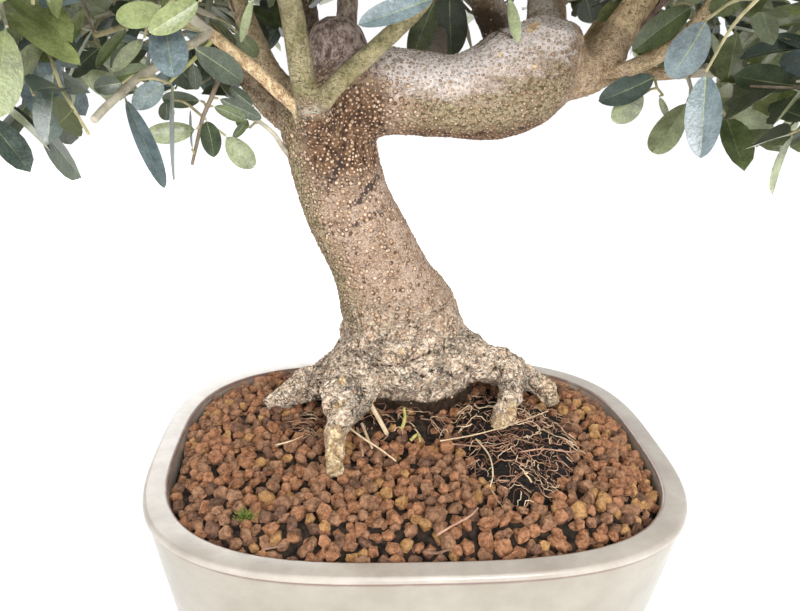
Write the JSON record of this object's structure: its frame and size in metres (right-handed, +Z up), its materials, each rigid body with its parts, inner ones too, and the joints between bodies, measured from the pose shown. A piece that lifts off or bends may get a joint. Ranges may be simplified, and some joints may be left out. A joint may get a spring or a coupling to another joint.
{
  "type": "olive bonsai in a pot",
  "caption": "Small old olive tree with a leaning trunk, spreading roots and a lumpy leafy crown, growing in gravel in a low glazed pot with rounded corners.",
  "frame": {"origin": "centre of the pot's flat underside", "axes": "+Z up along the tree, -Y to the front of the pot, +X towards the thick right bough; the trunk leans to -X"},
  "size_m": [0.4341, 0.3576, 0.4931],
  "materials": {
    "glaze": "glossy cream glaze, faintly mottled",
    "gravel": "matt reddish-brown baked clay grains",
    "peat": "matt black fibrous peat with fine roots",
    "bark": "matt grey-beige bark with raised pale dots",
    "young_bark": "matt smooth grey-green young bark",
    "foliage": "dark green waxy leaves, pale grey-green under"
  },
  "bodies": {
    "root": {"pot": "glaze", "soil": "gravel", "peat": "peat", "trunk": "bark", "bough_right": "bark", "bough_left_front": "young_bark", "bough_front": "young_bark", "bough_left_low": "young_bark", "bough_left_high": "young_bark", "bough_left_back": "young_bark", "bough_back_left": "young_bark", "bough_top_left": "young_bark", "bough_top": "young_bark", "bough_top_right": "young_bark", "bough_right_high": "young_bark", "bough_right_front": "young_bark", "bough_right_low": "young_bark", "bough_right_back": "young_bark", "bough_back": "young_bark", "leaves_left_front": "foliage", "leaves_front": "foliage", "leaves_left_low": "foliage", "leaves_left_high": "foliage", "leaves_left_back": "foliage", "leaves_back_left": "foliage", "leaves_top_left": "foliage", "leaves_top": "foliage", "leaves_top_right": "foliage", "leaves_right_high": "foliage", "leaves_right_front": "foliage", "leaves_right_low": "foliage", "leaves_right_back": "foliage", "leaves_back": "foliage"}
  },
  "joints": []
}
